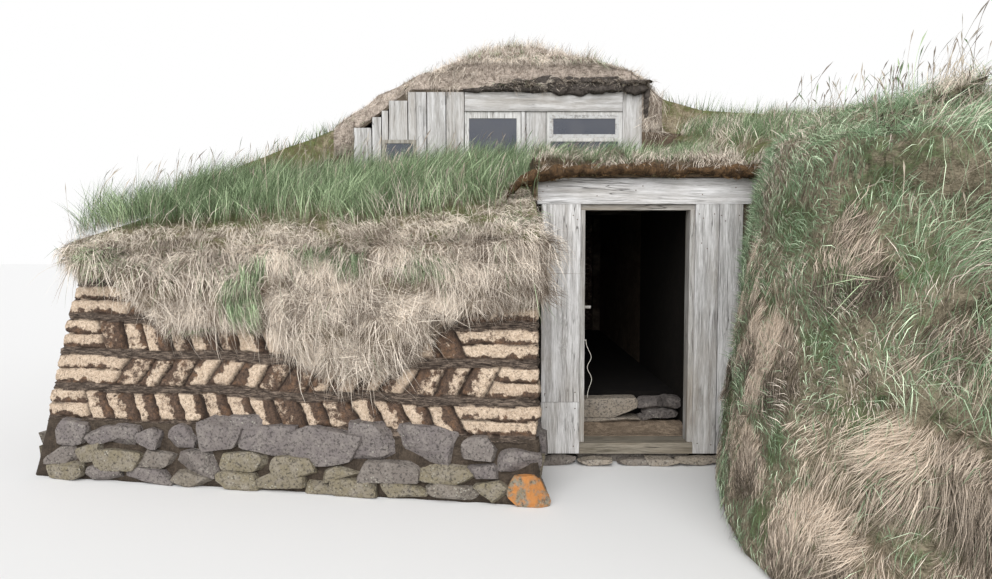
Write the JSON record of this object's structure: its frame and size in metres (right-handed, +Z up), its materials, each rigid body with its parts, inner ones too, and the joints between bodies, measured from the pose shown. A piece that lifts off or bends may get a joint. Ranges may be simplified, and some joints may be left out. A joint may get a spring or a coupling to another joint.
{
  "type": "turf house",
  "caption": "Turf house with herringbone turf walls on stone footings, a boarded doorway and passage, a low wing, a grassed bank and a boarded room under a sod roof.",
  "frame": {"origin": "on the ground in the middle of the doorway, in the outer face of the door boards", "axes": "+X right seen from the front, +Y back into the house, +Z up"},
  "size_m": [7.2911, 8.735, 3.8562],
  "materials": {
    "turf_wall": "fibrous, dry, matt",
    "turf_core": "rough earth and turf, matt",
    "grass_sod": "growing grass over sod",
    "dry_grass": "dry pale grass",
    "moss_sod": "moss and dark turf edges",
    "earth_floor": "trodden earth",
    "field_stone": "rough broken basalt with earth joints",
    "grey_board": "silver weathered, open grain",
    "door_timber": "weathered, worn",
    "window_timber": "weathered",
    "worn_paint": "worn pale paint",
    "window_glass": "dark, dusty",
    "inner_timber": "rough sawn",
    "string": "frayed, off-white"
  },
  "bodies": {
    "root": {"footing": "field_stone", "wall_front": "turf_wall", "wall_left_front": "turf_wall", "wall_left_room": "turf_wall", "wall_back": "turf_wall", "wall_right_front": "turf_core", "wall_right_room": "turf_core", "bank_right": "grass_sod", "core_left": "turf_core", "passage_wall_left": "turf_core", "passage_wall_right": "turf_core", "room_wall": "turf_core", "front_sill_beam": "inner_timber", "floor": "earth_floor", "step_slab": "field_stone", "sill_stones": "field_stone", "door_sill": "door_timber", "door_jamb_left": "door_timber", "door_jamb_right": "door_timber", "door_head": "door_timber", "door_lintel": "grey_board", "door_boards_left": "grey_board", "door_boards_right": "grey_board", "cord": "string", "passage_ceiling": "inner_timber", "front_boards": "grey_board", "front_beam": "grey_board", "front_post_right": "grey_board", "window_left_frame": "window_timber", "window_left_glass": "window_glass", "window_right_frame": "window_timber", "window_right_casement": "worn_paint", "window_right_glass": "window_glass", "casement_glass": "window_glass", "window_small_frame": "window_timber", "window_small_glass": "window_glass", "room_frame": "inner_timber", "roof_frame": "inner_timber", "roof_boards": "inner_timber", "sod_left": "grass_sod", "sod_fringe": "dry_grass", "sod_entrance": "moss_sod", "sod_right": "grass_sod", "sod_rear": "grass_sod", "sod_main_roof": "dry_grass", "edge_turves": "moss_sod"}
  },
  "joints": []
}
